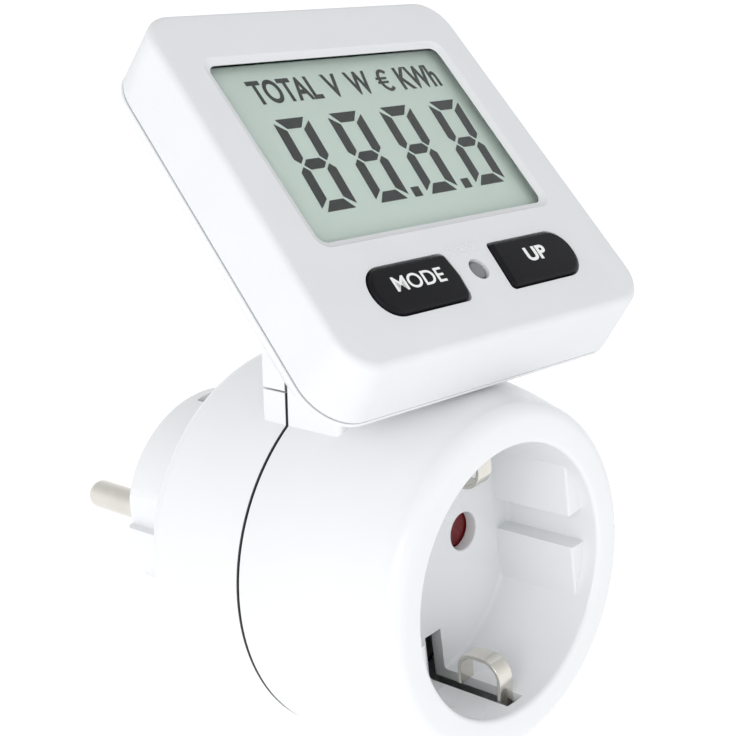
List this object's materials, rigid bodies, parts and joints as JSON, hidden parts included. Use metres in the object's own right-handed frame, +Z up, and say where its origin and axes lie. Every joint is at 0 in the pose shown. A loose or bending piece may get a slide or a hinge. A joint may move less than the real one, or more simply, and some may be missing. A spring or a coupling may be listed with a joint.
{
  "type": "plug-in power meter",
  "caption": "Plug-in energy meter with a round earthed through socket, a plug behind it and a tilting display head with keys.",
  "frame": {"origin": "centre of the plug's end face, where it seats on the floor of a wall socket, between the two pins", "axes": "+Y along the plug pins into the wall, +Z up towards the display head, +X to the right of someone reading the display"},
  "size_m": [0.0656, 0.0843, 0.109],
  "materials": {
    "gloss_white": "gloss",
    "satin_white": "satin",
    "black_key": "fine texture",
    "grey_key": "satin",
    "dark_red": "satin",
    "natural_nylon": "satin",
    "moulded_component": "satin",
    "film_capacitor": "satin",
    "varistor_blue": "gloss",
    "ribbon_grey": "satin",
    "circuit_board": "satin solder mask",
    "nickel": "plated",
    "brass": "plain",
    "steel": "plain",
    "manganin": "plain",
    "zebra_rubber": "matte",
    "clear_lens": "gloss",
    "display_glass": "satin polariser"
  },
  "bodies": {
    "housing": {"case_screw_1": "steel", "case_screw_2": "steel", "case_screw_3": "steel", "case_screw_4": "steel", "contact_carrier": "natural_nylon", "current_shunt": "manganin", "earth_bridge": "brass", "earth_strap_lower": "nickel", "earth_strap_upper": "nickel", "film_capacitor": "film_capacitor", "friction_washer_left": "steel", "friction_washer_right": "steel", "front_shell": "gloss_white", "hinge_pin_left": "steel", "hinge_pin_right": "steel", "live_busbar": "brass", "live_socket_contact": "brass", "metering_board": "circuit_board", "metering_chip": "moulded_component", "neutral_busbar": "brass", "neutral_socket_contact": "brass", "plug_pin_live": "nickel", "plug_pin_neutral": "nickel", "rear_shell": "gloss_white", "ribbon_cable_lower": "ribbon_grey", "ribbon_socket_main": "natural_nylon", "shutter_spring": "steel", "smoothing_capacitor": "moulded_component", "varistor": "varistor_blue"},
    "display_head": {"backup_battery": "steel", "display_board": "circuit_board", "display_cell": "display_glass", "display_chip": "moulded_component", "display_lens": "clear_lens", "head_back_cover": "gloss_white", "head_bezel": "satin_white", "head_screw_1": "steel", "head_screw_2": "steel", "head_screw_3": "steel", "head_screw_4": "steel", "mode_switch": "moulded_component", "reset_switch": "moulded_component", "ribbon_cable_upper": "ribbon_grey", "ribbon_socket_head": "natural_nylon", "up_switch": "moulded_component", "zebra_strip": "zebra_rubber"},
    "shutter": {"child_shutter": "dark_red"},
    "mode_key": {"mode_button": "black_key", "mode_switch_plunger": "natural_nylon"},
    "up_key": {"up_button": "black_key", "up_switch_plunger": "natural_nylon"},
    "reset_key": {"reset_button": "grey_key", "reset_switch_plunger": "natural_nylon"}
  },
  "joints": [
    {"name": "head_tilt", "type": "hinge", "parent": "housing", "child": "display_head", "pos_m": [0, -0.0375, 0.0401], "axis": [-1, 0, 0], "range_deg": [0, 35]},
    {"name": "mode_press", "type": "slide", "parent": "display_head", "child": "mode_key", "axis": [0, 0.7278, -0.6858], "range_m": [0, 0.0006], "stiffness_N_per_m": 1500, "springref_m": -0.0002},
    {"name": "up_press", "type": "slide", "parent": "display_head", "child": "up_key", "axis": [0, 0.7278, -0.6858], "range_m": [0, 0.0006], "stiffness_N_per_m": 1500, "springref_m": -0.0002},
    {"name": "reset_press", "type": "slide", "parent": "display_head", "child": "reset_key", "axis": [0, 0.7278, -0.6858], "range_m": [0, 0.0006], "stiffness_N_per_m": 1500, "springref_m": -0.0002},
    {"name": "shutter_turn", "type": "hinge", "parent": "housing", "child": "shutter", "pos_m": [0, -0.0453, 0], "axis": [0, 1, 0], "range_deg": [0, 40], "stiffness_Nm_per_rad": 0.002, "springref_deg": -11.46}
  ]
}
